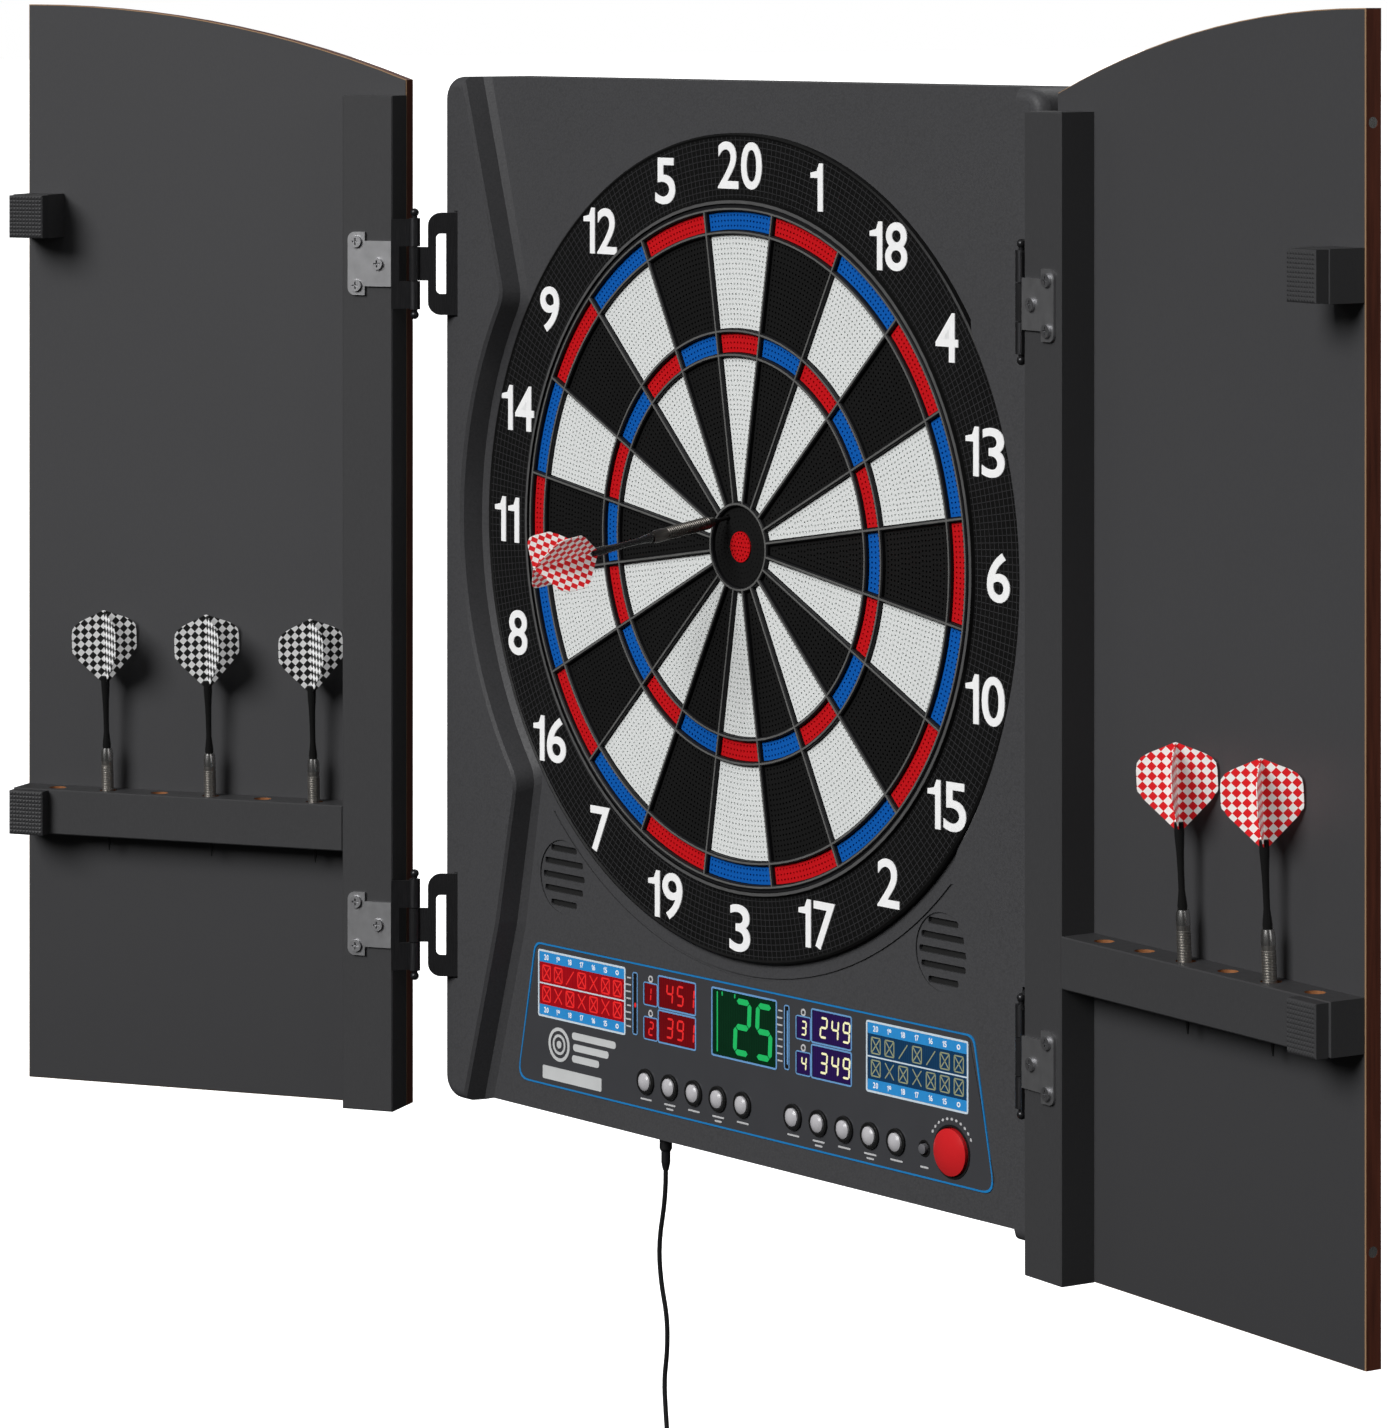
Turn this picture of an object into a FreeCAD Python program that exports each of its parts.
"""Electronic dartboard: a wall-hung scoring board with two hinged doors that carry spare darts.

Millimetres. X runs to the right, Y into the wall and Z up. The origin is the bull's axis on the
wall plane, so the whole board lies at negative Y. Every sub-part is one STEP file in parts/.
"""
import FreeCAD
import Part
import os
from math import asin, cos, degrees, hypot, pi, radians, sin, sqrt, tan

V = FreeCAD.Vector
AXIS_X = V(1, 0, 0)
AXIS_Y = V(0, 1, 0)
AXIS_Z = V(0, 0, 1)

# Target, to the regulation ring radii
CREST_Y = -40.0
BULL_INNER_R = 7.8
BULL_RING_R = 21.8
TRIPLE_IN_R = 97.4
TRIPLE_OUT_R = 109.6
DOUBLE_IN_R = 159.6
DOUBLE_OUT_R = 171.5
WEB = 2.2
WEB_CREST = 0.8
WEB_BACK_Y = -31.5
SECTORS = 20
SECTOR_ANGLE = 360.0 / SECTORS
SEGMENT_GAP = 0.3
SEGMENT_FRONT_Y = -37.6
SEGMENT_BACK_Y = -31.0
BOARD_HOLE_R = 174.2
NUMBER_RING_R = 210.0

# Housing
HALF_WIDTH = 236.0
TOP_Z = 236.0
BOTTOM_Z = -312.0
FOOT_Z = -313.0
CORNER_R = 12.0
FLANK_Y = -49.5
FLANK_ROUND = 6.0
PANEL_Y = -35.0
WALL = 2.5
COVER = 3.0
SCREW_SPOTS = tuple((side * 221.0, z) for side in (-1, 1) for z in (215.0, 60.0, -100.0, -290.0))
SCREW_R = 1.4
SCREW_HEAD_R = 3.3
BOSS_R = 4.0
KEYHOLE = (150.0, 180.0, 191.0)
KEYHOLE_HEAD_R = 5.0
KEYHOLE_SLOT_R = 2.6
FLANK_TOP_X = 215.0
FLANK_FOOT_X = 213.5
RECESS_R = 216.0
RECESS_TOP_Z = 118.0
RECESS_LOW_Z = -134.0
RECESS_BLEND_R = 16.0
WAIST = (185.0, -214.0)
RECESS_WALL = ((0.0, -4.0), (3.0, 0.0), (13.0, 3.0), (16.0, 6.0))
SURROUND_GROOVE = (217.5, 219.0, 0.9)

# Control panel
WINDOW_TOP_Z = -227.5
WINDOW_BOTTOM_Z = -261.0
WINDOW_SPLIT = 2.0
BUTTON_R = 4.5
BUTTON_HOLE_R = 4.8
BUTTON_Z = -283.5
BUTTON_PITCH = 19.5
START_BUTTON = (157.0, -282.0, 11.8)
RESET_BUTTON = (137.0, -283.5, 2.8)
GRILLE = (149.5, -186.0, 19.0)
GRILLE_BAR = 7.2
GRILLE_SLOT = 3.4
GRILLE_DISH = (19.4, 0.8)

# Doors, in their own axes: u from the hinge edge to the free edge, v out of the inner face
DOOR_T = 9.0
DOOR_WIDTH = 227.8
DOOR_BOTTOM = -320.0
DOOR_HINGE_TOP = 234.0
DOOR_FREE_TOP = 274.6
STILE_W = 29.3
STILE_D = 19.2
STILE_TOP = 225.7
PIN_X = 239.3
PIN_Y = -65.7
PIN_TO_EDGE = 10.5
PIN_V = 13.1
LEFT_OPEN_ANGLE = 30.1
RIGHT_OPEN_ANGLE = 7.2
HINGE_Z = (135.5, -219.6)
HINGE_H = 55.0
PIN_R = 1.5
PIN_BALL_R = 2.3
BARREL_R = 3.0
KNUCKLE = 9.0
BRACKET_T = 2.0
BRACKET_START = 7.2
BRACKET_CORNER_R = 7.0
BRACKET_WINDOW = (11.5, 17.0, 16.2, 2.5)
BRACKET_FOOT = (224.3, FLANK_Y)
LEAF_T = 1.5
LEAF_SCREWS = ((20.5, 11.8), (20.5, -11.8), (8.0, 0.0))
DOOR_SCREW_R = 1.5
DOOR_SCREW_HEAD_R = 3.2
MAGNET_Z = (224.6, -268.4)
MAGNET_R = 2.5
EDGE_BREAK = 0.6
RAIL_TOP = -157.0
RAIL_H = 24.5
RAIL_END = 227.4
SPACER_U = 206.0
SPACER_Z = (146.0, 170.0)
PAD_T = 7.8
HOLE_R = 4.8
HOLE_U0 = 50.0
HOLE_PITCH = 31.0
HOLES = 6
LEFT_DART_HOLES = (0, 2, 4)
RIGHT_DART_HOLES = (2, 4)

# Darts, measured along the dart from the tip's end
TIP_L = 17.0
BARREL_L = 40.0
SHAFT_L = 40.0
DART_L = 133.0
DART_BARREL_R = 3.3
FLIGHT_R = 18.5
RACKED_TIP_Z = -190.5
RACKED_LEAN = 3.0
STUCK_DART = (-10.0, -31.2, 15.0)
STUCK_DROOP = 8.0
TIP_HOLE_R = 1.7

# Power lead
CORD_D = 2.6
JACK = (-72.0, -28.0)
CORD_ROUTE = (
    (-72.0, -28.0, -329.0),
    (-72.0, -28.0, -343.0),
    (-76.2, -29.4, -367.0),
    (-75.0, -29.0, -387.0),
    (-70.8, -28.0, -405.0),
    (-71.2, -27.6, -423.0),
    (-73.2, -28.2, -438.0),
    (-71.0, -28.9, -454.0),
    (-68.6, -29.0, -469.0),
    (-65.4, -29.0, -486.2),
    (-60.3, -29.0, -501.8),
)
TAIL_ROUTE = (
    (-62.2, -29.0, -527.5),
    (-71.0, -29.0, -533.2),
    (-75.6, -29.0, -544.0),
    (-75.6, -29.0, -555.5),
)
COIL_CENTRE = (-70.0, -29.0, -514.0)
COIL_R = 15.5
COIL_BUNDLE_R = 6.5
ADAPTOR = (44.0, 26.0, 58.0)
BLADE = (1.5, 16.0, 6.5)
BLADE_SPACING = 12.7

PARTS = {}


def add(node, *shapes):
    """Keep one sub-part: one solid, or the separate solids that make it up."""
    solids = []
    for shape in shapes:
        solids.extend(shape.Solids)
    PARTS[node] = solids[0] if len(solids) == 1 else Part.makeCompound(solids)


def outline(start, *steps):
    """Closed face in the XZ plane; a step is (x, z), or (via x, via z, x, z) for an arc."""
    here = V(start[0], 0, start[1])
    first = here
    edges = []
    for step in steps:
        end = V(step[-2], 0, step[-1])
        if len(step) == 4:
            edges.append(Part.Arc(here, V(step[0], 0, step[1]), end).toShape())
        else:
            edges.append(Part.makeLine(here, end))
        here = end
    if here.distanceToPoint(first) > 1e-6:
        edges.append(Part.makeLine(here, first))
    return Part.Face(Part.Wire(edges))


def slab(face, front, back):
    """Prism of an XZ face between two Y planes."""
    base = face.copy()
    base.translate(V(0, front, 0))
    return base.extrude(V(0, back - front, 0))


def box(x0, x1, y0, y1, z0, z1):
    """Axis-aligned box between two corners."""
    return Part.makeBox(x1 - x0, y1 - y0, z1 - z0, V(x0, y0, z0))


def peg(x, z, radius, front, back):
    """Cylinder along Y."""
    return Part.makeCylinder(radius, back - front, V(x, front, z), AXIS_Y)


def post(x, y, radius, low, high):
    """Cylinder along Z."""
    return Part.makeCylinder(radius, high - low, V(x, y, low), AXIS_Z)


def rounded(x0, x1, z0, z1, radius):
    """Face of a rectangle with rounded corners in the XZ plane."""
    k = radius * (1 - sqrt(0.5))
    return outline(
        (x0 + radius, z0), (x1 - radius, z0), (x1 - k, z0 + k, x1, z0 + radius),
        (x1, z1 - radius), (x1 - k, z1 - k, x1 - radius, z1),
        (x0 + radius, z1), (x0 + k, z1 - k, x0, z1 - radius),
        (x0, z0 + radius), (x0 + k, z0 + k, x0 + radius, z0))


def polar(radius, clockwise):
    """Point at a radius and a clockwise angle from the top of the target."""
    a = radians(clockwise)
    return radius * sin(a), radius * cos(a)


def turned(points):
    """Solid of revolution about Z from (radius, z) points."""
    wire = Part.makePolygon([V(r, 0, z) for r, z in points] + [V(points[0][0], 0, points[0][1])])
    return Part.Face(wire).revolve(V(0, 0, 0), AXIS_Z, 360)


# Housing ---------------------------------------------------------------------------------------

def recess_face(grow):
    """The sunk middle of the front, narrowest round the target; grow widens it on every side."""
    ring = RECESS_R + grow
    top_x = sqrt(RECESS_R ** 2 - RECESS_TOP_Z ** 2)
    low_x = sqrt(RECESS_R ** 2 - RECESS_LOW_Z ** 2)
    scale = ring / RECESS_R
    over = TOP_Z + 10
    under = FOOT_Z - 10
    lean = (FLANK_TOP_X - top_x) / (TOP_Z - RECESS_TOP_Z)
    spread = (FLANK_FOOT_X - WAIST[0]) / (WAIST[1] - BOTTOM_Z)
    over_x = top_x + lean * (over - RECESS_TOP_Z) + grow
    under_x = WAIST[0] + spread * (WAIST[1] - under) + grow
    side = ((under_x, under), (WAIST[0] + grow, WAIST[1]), (low_x * scale, RECESS_LOW_Z * scale))
    face = outline(
        (-under_x, under), *side, (ring, 0, top_x * scale, RECESS_TOP_Z * scale), (over_x, over),
        (-over_x, over), (-top_x * scale, RECESS_TOP_Z * scale),
        (-ring, 0, -low_x * scale, RECESS_LOW_Z * scale), (-WAIST[0] - grow, WAIST[1]))
    return face.makeOffset2D(RECESS_BLEND_R, 2).makeOffset2D(-RECESS_BLEND_R, 0)


def stack(faces):
    """Solid through several XZ faces, each given with its Y plane and with straight sides between."""
    wires = []
    for face, y in faces:
        wire = face.OuterWire.copy()
        wire.translate(V(0, y, 0))
        wires.append(wire)
    return Part.makeLoft(wires, True, True)


def recess_solid(wall):
    """The sunk middle as a solid: a coved foot, a sloping side and a broken rim."""
    return stack([(recess_face(grow + wall), PANEL_Y + wall - height)
                  for height, grow in RECESS_WALL])


def front_edges(shape, y):
    """Edges of a shape that lie in one Y plane."""
    return [e for e in shape.Edges if abs(e.BoundBox.YMin - y) < 0.01 and abs(e.BoundBox.YMax - y) < 0.01]


def windows():
    """Display windows as (left, right, bottom, top)."""
    high, low = WINDOW_TOP_Z, WINDOW_BOTTOM_Z
    middle = (high + low) / 2
    upper = (middle + WINDOW_SPLIT / 2, high)
    lower = (low, middle - WINDOW_SPLIT / 2)
    cells = [(-169.0, -97.0, low, high), (-25.0, 25.0, low, high), (95.0, 168.0, low, high)]
    for left in (-80.5, 41.0):
        for bottom, top in (upper, lower):
            cells.append((left, left + 10.5, bottom, bottom + 11.0))
            cells.append((left + 12.0, left + 41.5, bottom, top))
    return cells


def small_buttons():
    """X of the ten round buttons, in two rows of five."""
    return [start + i * BUTTON_PITCH for start in (-79.0, 38.5) for i in range(5)]


def bracket_slab(side, hinge_z, thickness, start, end, half_height, corner=0.0):
    """Upright plate along the line from a hinge pin to its housing slot, rounded at the pin's end."""
    dx = BRACKET_FOOT[0] - PIN_X
    dy = BRACKET_FOOT[1] - PIN_Y
    length = hypot(dx, dy)
    plate = Part.makeBox(end - start, thickness, 2 * half_height,
                         V(start, -thickness / 2, -half_height))
    if corner:
        near = [e for e in plate.Edges if e.BoundBox.XMax < start + 0.01 and e.BoundBox.ZLength < 0.01]
        plate = plate.makeFillet(corner, near)
    angle = degrees(asin(dy / length))
    plate.rotate(V(0, 0, 0), AXIS_Z, 180 - angle)
    plate.translate(V(PIN_X, PIN_Y, hinge_z))
    return plate if side > 0 else plate.mirror(V(0, 0, 0), AXIS_X)


def surround_groove():
    """Shallow groove round the lower half of the target's surround."""
    inner, outer, depth = SURROUND_GROOVE
    ring = peg(0, 0, outer, PANEL_Y - 1, PANEL_Y + depth).cut(
        peg(0, 0, inner, PANEL_Y - 2, PANEL_Y + depth + 1))
    return ring.common(box(-HALF_WIDTH, HALF_WIDTH, PANEL_Y - 3, PANEL_Y + 3, -outer, RECESS_LOW_Z - 18))


def front_housing():
    """Moulded front: raised flanks, sunk middle, the target's opening and the panel's holes."""
    body = slab(rounded(-HALF_WIDTH, HALF_WIDTH, FOOT_Z, TOP_Z, CORNER_R), FLANK_Y, -COVER)
    body = body.makeFillet(FLANK_ROUND, front_edges(body, FLANK_Y))
    foot = FLANK_FOOT_X - 2
    notch = outline((-FLANK_FOOT_X, FOOT_Z - 1), (-FLANK_FOOT_X, FOOT_Z), (-foot, BOTTOM_Z),
                    (foot, BOTTOM_Z), (FLANK_FOOT_X, FOOT_Z), (FLANK_FOOT_X, FOOT_Z - 1))
    body = body.cut(slab(notch, FLANK_Y - 1, 0))
    body = body.cut(recess_solid(0))
    inner = rounded(-HALF_WIDTH + WALL, HALF_WIDTH - WALL, BOTTOM_Z + WALL, TOP_Z - WALL,
                    CORNER_R - WALL)
    hollow = slab(inner, FLANK_Y + WALL, 0)
    hollow = hollow.makeFillet(FLANK_ROUND - WALL, front_edges(hollow, FLANK_Y + WALL))
    body = body.cut(hollow.cut(recess_solid(WALL)))
    for x, z in SCREW_SPOTS:
        boss = peg(x, z, BOSS_R, FLANK_Y + WALL - 0.5, -COVER)
        body = body.fuse(boss.cut(peg(x, z, SCREW_R + 0.05, -16, 0)))
    cuts = [peg(0, 0, BOARD_HOLE_R, FLANK_Y, 0)]
    for left, right, bottom, top in windows():
        cuts.append(box(left, right, PANEL_Y - 1, PANEL_Y + WALL + 1, bottom, top))
    for x in small_buttons():
        cuts.append(peg(x, BUTTON_Z, BUTTON_HOLE_R, PANEL_Y - 1, PANEL_Y + WALL + 1))
    for x, z, radius in (START_BUTTON, RESET_BUTTON):
        cuts.append(peg(x, z, radius + 0.3, PANEL_Y - 1, PANEL_Y + WALL + 1))
    cuts.append(surround_groove())
    for side in (-1, 1):
        dish_r, dish_depth = GRILLE_DISH
        cuts.append(peg(side * GRILLE[0], GRILLE[1], dish_r, PANEL_Y - 1, PANEL_Y + dish_depth))
        for row in range(-2, 3):
            reach = sqrt(GRILLE[2] ** 2 - (row * GRILLE_BAR) ** 2) - 1.5
            x, z = side * GRILLE[0], GRILLE[1] + row * GRILLE_BAR
            slot = rounded(x - reach, x + reach, z - GRILLE_SLOT / 2, z + GRILLE_SLOT / 2, 1.2)
            cuts.append(slab(slot, PANEL_Y - 1, PANEL_Y + WALL + 1))
        for hinge_z in HINGE_Z:
            cuts.append(bracket_slab(side, hinge_z, BRACKET_T + 0.6, 12, 36, HINGE_H / 2 + 1))
    cuts.append(post(JACK[0], JACK[1], 4.2, BOTTOM_Z - 1, BOTTOM_Z + WALL + 1))
    body = body.cut(Part.makeCompound(cuts))
    bezels = []
    for x in small_buttons():
        ring = peg(x, BUTTON_Z, 6.6, PANEL_Y - 1.6, PANEL_Y)
        bezels.append(ring.cut(peg(x, BUTTON_Z, BUTTON_HOLE_R, PANEL_Y - 2, PANEL_Y)))
    return body.multiFuse(bezels)


def rear_cover():
    """Flat back with two keyhole slots for wall screws and the screw countersinks."""
    cover = slab(rounded(-HALF_WIDTH, HALF_WIDTH, FOOT_Z, TOP_Z, CORNER_R), -COVER, 0)
    cuts = []
    away, low, high = KEYHOLE
    for x in (-away, away):
        cuts.append(peg(x, low, KEYHOLE_HEAD_R, -4, 1))
        cuts.append(box(x - KEYHOLE_SLOT_R, x + KEYHOLE_SLOT_R, -4, 1, low, high))
        cuts.append(peg(x, high, KEYHOLE_SLOT_R, -4, 1))
    for x, z in SCREW_SPOTS:
        cuts.append(peg(x, z, SCREW_R + 0.2, -4, 1))
        cuts.append(peg(x, z, SCREW_HEAD_R + 0.1, -2, 1))
    return cover.cut(Part.makeCompound(cuts))


def housing_screws():
    """Countersunk screws that hold the rear cover, driven from the back."""
    screws = []
    for x, z in SCREW_SPOTS:
        screw = peg(x, z, SCREW_HEAD_R, -2, -0.1).fuse(peg(x, z, SCREW_R, -15.5, -2))
        cross = box(x - 2, x + 2, -1.2, 0, z - 0.4, z + 0.4).fuse(
            box(x - 0.4, x + 0.4, -1.2, 0, z - 2, z + 2))
        screws.append(screw.cut(cross))
    return screws


# Target ----------------------------------------------------------------------------------------

def sector_solid(index, inner, outer):
    """One scoring segment between two web rings."""
    gap = WEB / 2 + SEGMENT_GAP
    r0 = inner + gap
    r1 = outer - gap
    centre = index * SECTOR_ANGLE
    half0 = SECTOR_ANGLE / 2 - degrees(asin(gap / r0))
    half1 = SECTOR_ANGLE / 2 - degrees(asin(gap / r1))
    face = outline(
        polar(r0, centre - half0), polar(r1, centre - half1),
        (*polar(r1, centre), *polar(r1, centre + half1)), polar(r0, centre + half0),
        (*polar(r0, centre), *polar(r0, centre - half0)))
    return slab(face, SEGMENT_FRONT_Y, SEGMENT_BACK_Y)


def segments():
    """Scoring segments, grouped by ring and colour."""
    rings = {
        "inner_singles": (BULL_RING_R, TRIPLE_IN_R, ("white", "black")),
        "outer_singles": (TRIPLE_OUT_R, DOUBLE_IN_R, ("white", "black")),
        "triples": (TRIPLE_IN_R, TRIPLE_OUT_R, ("red", "blue")),
        "doubles": (DOUBLE_IN_R, DOUBLE_OUT_R, ("blue", "red")),
    }
    for ring, (inner, outer, colours) in rings.items():
        for parity, colour in enumerate(colours):
            group = [sector_solid(i, inner, outer) for i in range(parity, SECTORS, 2)]
            add(f"{ring}_{colour}", *group)
    bull = peg(0, 0, BULL_RING_R - WEB / 2 - SEGMENT_GAP, SEGMENT_FRONT_Y, SEGMENT_BACK_Y)
    bull = bull.cut(peg(0, 0, BULL_INNER_R + SEGMENT_GAP, SEGMENT_FRONT_Y - 1, SEGMENT_BACK_Y + 1))
    tip_hole = stuck(Part.makeCylinder(TIP_HOLE_R, 30, V(0, 0, -10), AXIS_Z))
    add("outer_bull", bull.cut(tip_hole))
    add("inner_bull", peg(0, 0, BULL_INNER_R, SEGMENT_FRONT_Y - 0.5, SEGMENT_BACK_Y))


def web_ring(radius):
    """Ring of the web, broken to a narrow crest."""
    half, crest = WEB / 2, WEB_CREST / 2
    slope = half - crest
    front, back = -CREST_Y, -WEB_BACK_Y
    ring = turned([(radius - half, back), (radius + half, back), (radius + half, front - slope),
                   (radius + crest, front), (radius - crest, front), (radius - half, front - slope)])
    ring.rotate(V(0, 0, 0), AXIS_X, 90)
    return ring


def spider():
    """Moulded web of rings and radial bars that parts the segments, and its flat outer rim."""
    pieces = [web_ring(r) for r in (BULL_RING_R, TRIPLE_IN_R, TRIPLE_OUT_R, DOUBLE_IN_R, DOUBLE_OUT_R)]
    rim = peg(0, 0, BOARD_HOLE_R - 0.2, CREST_Y + 1.2, WEB_BACK_Y)
    pieces.append(rim.cut(peg(0, 0, DOUBLE_OUT_R, CREST_Y, WEB_BACK_Y + 1)))
    half, crest = WEB / 2, WEB_CREST / 2
    shoulder = CREST_Y + half - crest
    corners = ((-half, WEB_BACK_Y), (half, WEB_BACK_Y), (half, shoulder), (crest, CREST_Y),
               (-crest, CREST_Y), (-half, shoulder), (-half, WEB_BACK_Y))
    section = Part.Face(Part.makePolygon([V(x, y, BULL_RING_R) for x, y in corners]))
    for i in range(SECTORS):
        bar = section.extrude(V(0, 0, DOUBLE_OUT_R - BULL_RING_R))
        bar.rotate(V(0, 0, 0), AXIS_Y, (i + 0.5) * SECTOR_ANGLE)
        pieces.append(bar)
    return pieces[0].multiFuse(pieces[1:]).removeSplitter()


def number_ring():
    """Flat ring for the numerals, with a crest along its inner edge."""
    profile = [(BOARD_HOLE_R + 0.1, 0), (BOARD_HOLE_R + 0.1, 5), (175.8, 5), (176.6, 3),
               (NUMBER_RING_R - 2, 3), (NUMBER_RING_R - 1, 3.6), (NUMBER_RING_R, 3), (NUMBER_RING_R, 0)]
    ring = turned(profile)
    ring.rotate(V(0, 0, 0), AXIS_X, 90)
    ring.translate(V(0, PANEL_Y, 0))
    return ring


# Control panel ---------------------------------------------------------------------------------

def overlay_face():
    """Panel film outline: a wide rounded trapezoid."""
    top, low, rise = (166.0, -223.0), (187.0, -290.0), 8.0
    return outline(
        (-low[0] + rise, low[1] - rise), (low[0] - rise, low[1] - rise),
        (low[0] - 2, low[1] - rise + 3, low[0], low[1]), (top[0] + 4, top[1] - 4),
        (top[0] + 1.5, top[1] - 1, top[0] - 2, top[1]), (2 - top[0], top[1]),
        (-top[0] - 1.5, top[1] - 1, -top[0] - 4, top[1] - 4), (-low[0], low[1]),
        (2 - low[0], low[1] - rise + 3, -low[0] + rise, low[1] - rise))


def control_overlay():
    """Printed film on the panel, cut out round every window and button."""
    film = slab(overlay_face(), PANEL_Y - 0.4, PANEL_Y)
    cuts = []
    for left, right, bottom, top in windows():
        cuts.append(box(left, right, PANEL_Y - 2, PANEL_Y + 1, bottom, top))
    for x in small_buttons():
        cuts.append(peg(x, BUTTON_Z, 6.7, PANEL_Y - 2, PANEL_Y + 1))
    for x, z, radius in (START_BUTTON, RESET_BUTTON):
        cuts.append(peg(x, z, radius + 0.3, PANEL_Y - 2, PANEL_Y + 1))
    return film.cut(Part.makeCompound(cuts))


def display_modules():
    """Numeric displays, each a block behind its window."""
    return [box(left + 0.2, right - 0.2, PANEL_Y - 0.3, -27.2, bottom + 0.2, top - 0.2)
            for left, right, bottom, top in windows()]


def button(x, z, radius, rise):
    """Domed push button with a flange behind the panel and a switch stem."""
    dome_r = (radius ** 2 + rise ** 2) / (2 * rise)
    base = PANEL_Y - 2.2
    ball = Part.makeSphere(dome_r, V(x, base - rise + dome_r, z))
    cap = ball.common(peg(x, z, radius, base - rise - 1, base))
    stalk = peg(x, z, radius, base, PANEL_Y + WALL + 0.3)
    flange = peg(x, z, radius + 1.2, PANEL_Y + WALL + 0.3, PANEL_Y + WALL + 1.5)
    return cap.fuse(stalk).fuse(flange)


# Hinges and doors ------------------------------------------------------------------------------

def hinge_brackets():
    """Bent-out steel plates plugged into the flanks, each with the middle barrel of its hinge."""
    plates = []
    for side in (-1, 1):
        for z in HINGE_Z:
            half = HINGE_H / 2
            plate = bracket_slab(side, z, BRACKET_T, BRACKET_START, 32, half, BRACKET_CORNER_R)
            plate = plate.fuse(bracket_slab(side, z, BRACKET_T, 0, 12, KNUCKLE))
            plate = plate.cut(bracket_slab(side, z, BRACKET_T + 2, *BRACKET_WINDOW))
            plate = plate.fuse(post(side * PIN_X, PIN_Y, BARREL_R, z - KNUCKLE, z + KNUCKLE))
            plates.append(plate.cut(post(side * PIN_X, PIN_Y, PIN_R + 0.05, z - half, z + half)))
    return plates


def hinge_pins():
    """Loose hinge pins with ball ends."""
    pins = []
    for side in (-1, 1):
        for z in HINGE_Z:
            pin = post(side * PIN_X, PIN_Y, PIN_R, z - HINGE_H / 2, z + HINGE_H / 2)
            for end in (-1, 1):
                pin = pin.fuse(Part.makeSphere(PIN_BALL_R, V(side * PIN_X, PIN_Y, z + end * HINGE_H / 2)))
            pins.append(pin)
    return pins


def door_face(u0, u1, rise=0.0):
    """Door outline between two distances from the hinge edge, arched along its top."""
    sag = DOOR_FREE_TOP - DOOR_HINGE_TOP
    radius = (DOOR_WIDTH ** 2 + sag ** 2) / (2 * sag)

    def top(u):
        return DOOR_FREE_TOP - radius + sqrt(radius ** 2 - (DOOR_WIDTH - u) ** 2) + rise

    middle = (u0 + u1) / 2
    return outline((u0, DOOR_BOTTOM), (u1, DOOR_BOTTOM), (u1, top(u1)),
                   (middle, top(middle), u0, top(u0)))


def hole_u(index):
    """Distance of a rack hole from the hinge edge."""
    return HOLE_U0 + index * HOLE_PITCH


def leaf(z):
    """T-shaped door leaf, its neck bent back to the outer barrels of the hinge."""
    front = -STILE_D
    bar = box(15.5, 25.5, front - LEAF_T, front, z - 17, z + 17)
    bar = bar.makeFillet(4.0, [e for e in bar.Edges if e.BoundBox.YLength > 1.2
                               and e.BoundBox.XMax > 25])
    neck = box(0, 15.5, front - LEAF_T, front, z - 12.2, z + 12.2)
    section = [V(0, front - LEAF_T, z - 24), V(0, front, z - 24),
               V(-PIN_TO_EDGE, -PIN_V + 0.8, z - 24), V(-PIN_TO_EDGE, -PIN_V - 0.8, z - 24)]
    bend = Part.Face(Part.makePolygon(section + section[:1])).extrude(V(0, 0, 48))
    plate = bar.fuse(neck).fuse(bend)
    gap = KNUCKLE + 0.4
    for low, high in ((z - 24.5, z - gap), (z + gap, z + 24.5)):
        plate = plate.fuse(post(-PIN_TO_EDGE, -PIN_V, BARREL_R, low, high))
    plate = plate.cut(box(-PIN_TO_EDGE - 4, -PIN_TO_EDGE + 6.8, -22, -5, z - gap, z + gap))
    cuts = [post(-PIN_TO_EDGE, -PIN_V, PIN_R + 0.05, z - 30, z + 30)]
    for u, dz in LEAF_SCREWS:
        cuts.append(peg(u, z + dz, DOOR_SCREW_R + 0.3, front - 3, front + 1))
    return plate.cut(Part.makeCompound(cuts))


def eased(block):
    """Break the sharp front edges of a wooden piece."""
    return block.makeChamfer(EDGE_BREAK, front_edges(block, block.BoundBox.YMin))


def stile():
    """Upright batten along the hinge edge, drilled for the leaf screws."""
    solid = eased(box(0, STILE_W, -STILE_D, 0, DOOR_BOTTOM, STILE_TOP))
    holes = []
    for z in HINGE_Z:
        for u, dz in LEAF_SCREWS:
            holes.append(peg(u, z + dz, DOOR_SCREW_R + 0.05, -STILE_D - 1, -STILE_D + 11))
    return solid.cut(Part.makeCompound(holes))


def door_screws():
    """Pan-head cross-slot screws through the hinge leaves."""
    screws = []
    face = -STILE_D - LEAF_T
    for z in HINGE_Z:
        for u, dz in LEAF_SCREWS:
            screw = peg(u, z + dz, DOOR_SCREW_HEAD_R, face - 1.5, face).fuse(
                peg(u, z + dz, DOOR_SCREW_R, face, face + 12))
            cross = box(u - 1.9, u + 1.9, face - 2, face - 0.5, z + dz - 0.4, z + dz + 0.4).fuse(
                box(u - 0.4, u + 0.4, face - 2, face - 0.5, z + dz - 1.9, z + dz + 1.9))
            screws.append(screw.cut(cross))
    return screws


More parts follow.
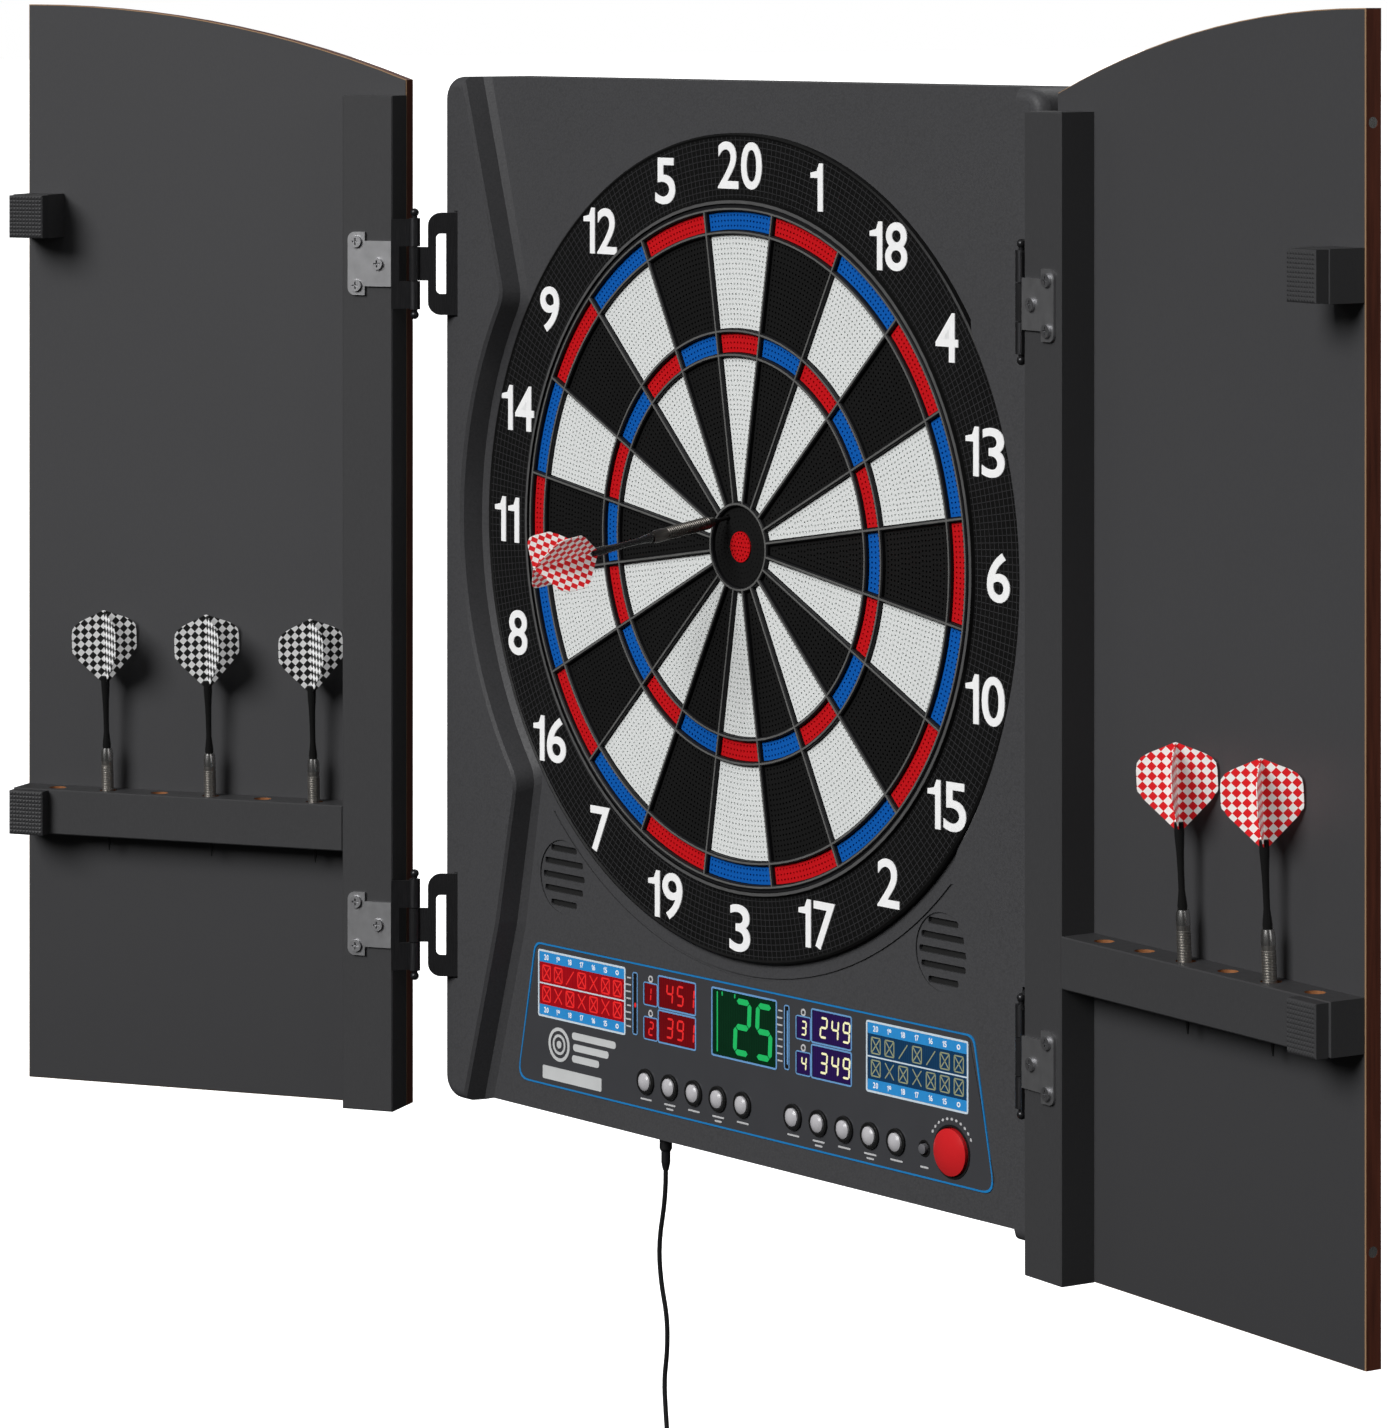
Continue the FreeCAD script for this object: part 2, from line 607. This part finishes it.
def rack():
    """Dart rail with its row of holes, and the spacer block near the top of the door."""
    rail = eased(box(STILE_W, RAIL_END, -STILE_D, 0, RAIL_TOP - RAIL_H, RAIL_TOP))
    holes = [post(hole_u(i), -STILE_D / 2, HOLE_R, RAIL_TOP - RAIL_H - 1, RAIL_TOP + 1)
             for i in range(HOLES)]
    spacer = box(SPACER_U, RAIL_END, -STILE_D, 0, *SPACER_Z)
    return [rail.cut(Part.makeCompound(holes)), spacer]


def bumpers():
    """Rubber pads on the spacer block and on the end of the rail."""
    front = -STILE_D - PAD_T
    return [box(SPACER_U, RAIL_END - 1, front, -STILE_D, SPACER_Z[0] + 0.3, SPACER_Z[1] - 0.3),
            box(SPACER_U, RAIL_END - 1, front, -STILE_D, RAIL_TOP - RAIL_H, RAIL_TOP - 0.5)]


def door_panel():
    """Door board, with a socket for each magnet in its free edge."""
    panel = eased(slab(door_face(0, DOOR_WIDTH), 0, DOOR_T))
    sockets = [Part.makeCylinder(MAGNET_R, 4, V(DOOR_WIDTH - 4, DOOR_T / 2, z), AXIS_X)
               for z in MAGNET_Z]
    return panel.cut(Part.makeCompound(sockets))


def magnets():
    """Round catch magnets in the door's free edge."""
    return [Part.makeCylinder(MAGNET_R, 3.9, V(DOOR_WIDTH - 4, DOOR_T / 2, z), AXIS_X)
            for z in MAGNET_Z]


def dart():
    """Soft-tip dart with its tip's end at the origin, flights up along Z."""
    tip = turned([(0, 0), (0.35, 0.2), (1.0, 5), (1.1, 14), (2.2, TIP_L), (0, TIP_L)])
    end = TIP_L + BARREL_L
    barrel = turned([(0, TIP_L), (2.4, TIP_L), (DART_BARREL_R, TIP_L + 3), (DART_BARREL_R, end - 3),
                     (2.7, end), (0, end)])
    shaft_end = end + SHAFT_L
    shaft = turned([(0, end), (2.2, end), (1.5, end + 9), (1.7, end + 24), (2.3, shaft_end - 6),
                    (2.3, shaft_end), (0, shaft_end)])
    root = shaft_end - 5
    length = DART_L - root
    r = FLIGHT_R
    blade = outline(
        (0, root), (r - 2.5, root + 15), (r - 0.4, root + 18, r, root + 22), (r, DART_L - 12),
        (r - 1.4, DART_L - 8, r - 5, DART_L - 5.5), (0, DART_L), (5 - r, DART_L - 5.5),
        (1.4 - r, DART_L - 8, -r, DART_L - 12), (-r, root + 22),
        (0.4 - r, root + 18, 2.5 - r, root + 15))
    fin = slab(blade, -0.3, 0.3)
    cross = fin.copy()
    cross.rotate(V(0, 0, 0), AXIS_Z, 90)
    flights = fin.fuse(cross)
    flights.rotate(V(0, 0, 0), AXIS_Z, 45)
    flights = flights.cut(Part.makeCylinder(2.3, length, V(0, 0, root - length + 5), AXIS_Z))
    return Part.makeCompound([tip, barrel, shaft, *flights.Solids])


def place_on_door(shape, side):
    """Move a shape from the door's own axes to its place on the left (-1) or right (1) door."""
    moved = shape.copy() if side > 0 else shape.mirror(V(0, 0, 0), AXIS_X)
    pivot = V(-side * PIN_TO_EDGE, -PIN_V, 0)
    angle = -RIGHT_OPEN_ANGLE if side > 0 else LEFT_OPEN_ANGLE
    moved.translate(-pivot)
    moved.rotate(V(0, 0, 0), AXIS_Z, angle)
    moved.translate(V(side * PIN_X, PIN_Y, 0))
    return moved


def stuck(shape):
    """Move a shape from the dart's own axes to the dart in the bull, flights drooping."""
    moved = shape.copy()
    moved.rotate(V(0, 0, 0), AXIS_X, 90 + STUCK_DROOP)
    moved.translate(V(*STUCK_DART))
    return moved


def doors():
    """Both doors with everything on them, and the darts in their racks."""
    pieces = {
        "panel": [door_panel()], "stile": [stile()], "dart_rack": rack(), "bumpers": bumpers(),
        "hinge_leaves": [leaf(z) for z in HINGE_Z], "door_screws": door_screws(),
        "magnets": magnets(),
    }
    for side, name, taken in ((-1, "left", LEFT_DART_HOLES), (1, "right", RIGHT_DART_HOLES)):
        for piece, shapes in pieces.items():
            add(f"{name}_{piece}", *[place_on_door(shape, side) for shape in shapes])
        for number, hole in enumerate(taken, start=1):
            racked = dart()
            middle = V(hole_u(hole), -STILE_D / 2, RAIL_TOP - RAIL_H / 2)
            racked.translate(V(middle.x, middle.y, RACKED_TIP_Z))
            racked.rotate(middle, AXIS_X, RACKED_LEAN)
            add(f"{name}_dart_{number}", place_on_door(racked, side))
    add("stuck_dart", stuck(dart()))


# Power lead ------------------------------------------------------------------------------------

def cord_tube(route, name):
    """Round tube along straight runs joined by tangent arcs; its bend radii are printed."""
    points = [V(*p) for p in route]
    edges = []
    here = points[0]
    length = 0.0
    radii = []
    for before, corner, after in zip(points, points[1:], points[2:]):
        run_in = corner - before
        run_out = after - corner
        turn = run_in.getAngle(run_out)
        shorter = min(run_in.Length, run_out.Length)
        setback = 0.45 * shorter
        radius = setback / tan(turn / 2)
        start = corner - run_in.normalize() * setback
        end = corner + run_out.normalize() * setback
        inward = (start + end) * 0.5 - corner
        middle = corner + inward.normalize() * (hypot(radius, setback) - radius)
        edges.append(Part.makeLine(here, start))
        edges.append(Part.Arc(start, middle, end).toShape())
        length += (start - here).Length + radius * turn
        here = end
        radii.append(radius)
    edges.append(Part.makeLine(here, points[-1]))
    length += (points[-1] - here).Length
    path = Part.Wire(edges)
    direction = points[1] - points[0]
    section = Part.Wire([Part.makeCircle(CORD_D / 2, points[0], direction)])
    tube = path.makePipeShell([section], True, False)
    ideal = pi * CORD_D ** 2 / 4 * length
    print(f"{name}: length {length:.1f} mm, radii {[round(r, 1) for r in radii]},"
          f" volume {tube.Volume:.1f} against {ideal:.1f} mm3")
    return tube


def power_lead():
    """Inlet, plug, cord, its coil and the mains adaptor, all below the housing."""
    x, y = JACK
    jack = post(x, y, 4.0, BOTTOM_Z, BOTTOM_Z + 16)
    jack = jack.cut(post(x, y, 2.8, BOTTOM_Z - 1, BOTTOM_Z + 12))
    add("dc_jack", jack.fuse(post(x, y, 1.0, BOTTOM_Z + 3, BOTTOM_Z + 13)))
    plug = turned([(1.2, 11), (2.7, 11), (2.7, -0.2), (3.3, -0.2), (3.3, -6), (2.4, -7.5), (2.4, -13),
                   (1.6, -17), (0, -17), (0, -1), (1.2, -1)])
    plug.translate(V(x, y, BOTTOM_Z))
    add("dc_plug", plug)
    add("power_cord", cord_tube(CORD_ROUTE, "power_cord"))
    add("cord_tail", cord_tube(TAIL_ROUTE, "cord_tail"))
    add("cord_coil", Part.makeTorus(COIL_R, COIL_BUNDLE_R, V(*COIL_CENTRE), AXIS_Y))
    tail = TAIL_ROUTE[-1]
    width, depth, height = ADAPTOR
    top = tail[2] - 14
    case = box(tail[0] - width / 2, tail[0] + width / 2, tail[1] - depth / 2, tail[1] + depth / 2,
               top - height, top)
    case = case.makeFillet(4, case.Edges)
    relief = Part.makeCone(3.2, 1.8, 14.5, V(tail[0], tail[1], top - 0.5), AXIS_Z)
    face = tail[1] - depth / 2
    blade_t, blade_l, blade_w = BLADE
    blades = []
    for side in (-1, 1):
        left = tail[0] + side * BLADE_SPACING / 2 - blade_t / 2
        blades.append(box(left, left + blade_t, face - blade_l, face + 1, top - 19.5 - blade_w, top - 19.5))
    add("wall_adaptor", case.fuse(relief).multiFuse(blades))


# Assembly --------------------------------------------------------------------------------------

def build():
    """Make every sub-part."""
    add("front_housing", front_housing())
    add("rear_cover", rear_cover())
    add("housing_screws", *housing_screws())
    add("spider", spider())
    add("number_ring", number_ring())
    add("sensor_membrane", peg(0, 0, 172, -29.6, -28.6))
    segments()
    add("control_overlay", control_overlay())
    add("display_modules", *display_modules())
    add("circuit_board", box(-178, 178, -27.0, -25.4, -290, -222))
    add("speakers", *[peg(s * GRILLE[0], GRILLE[1], 21, PANEL_Y + WALL + 0.1, -18) for s in (-1, 1)])
    for number, x in enumerate(small_buttons(), start=1):
        add(f"button_{number:02d}", button(x, BUTTON_Z, BUTTON_R, 1.6))
    add("start_button", button(START_BUTTON[0], START_BUTTON[1], START_BUTTON[2] - 0.3, 2.4))
    add("reset_button", button(RESET_BUTTON[0], RESET_BUTTON[1], RESET_BUTTON[2] - 0.3, 0.6))
    add("hinge_brackets", *hinge_brackets())
    add("hinge_pins", *hinge_pins())
    doors()
    power_lead()


build()
os.makedirs("parts", exist_ok=True)
for node, shape in PARTS.items():
    if not shape.isValid():
        print("not valid:", node)
    shape.exportStep(f"parts/{node}.step")
print(len(PARTS), "sub-parts written")
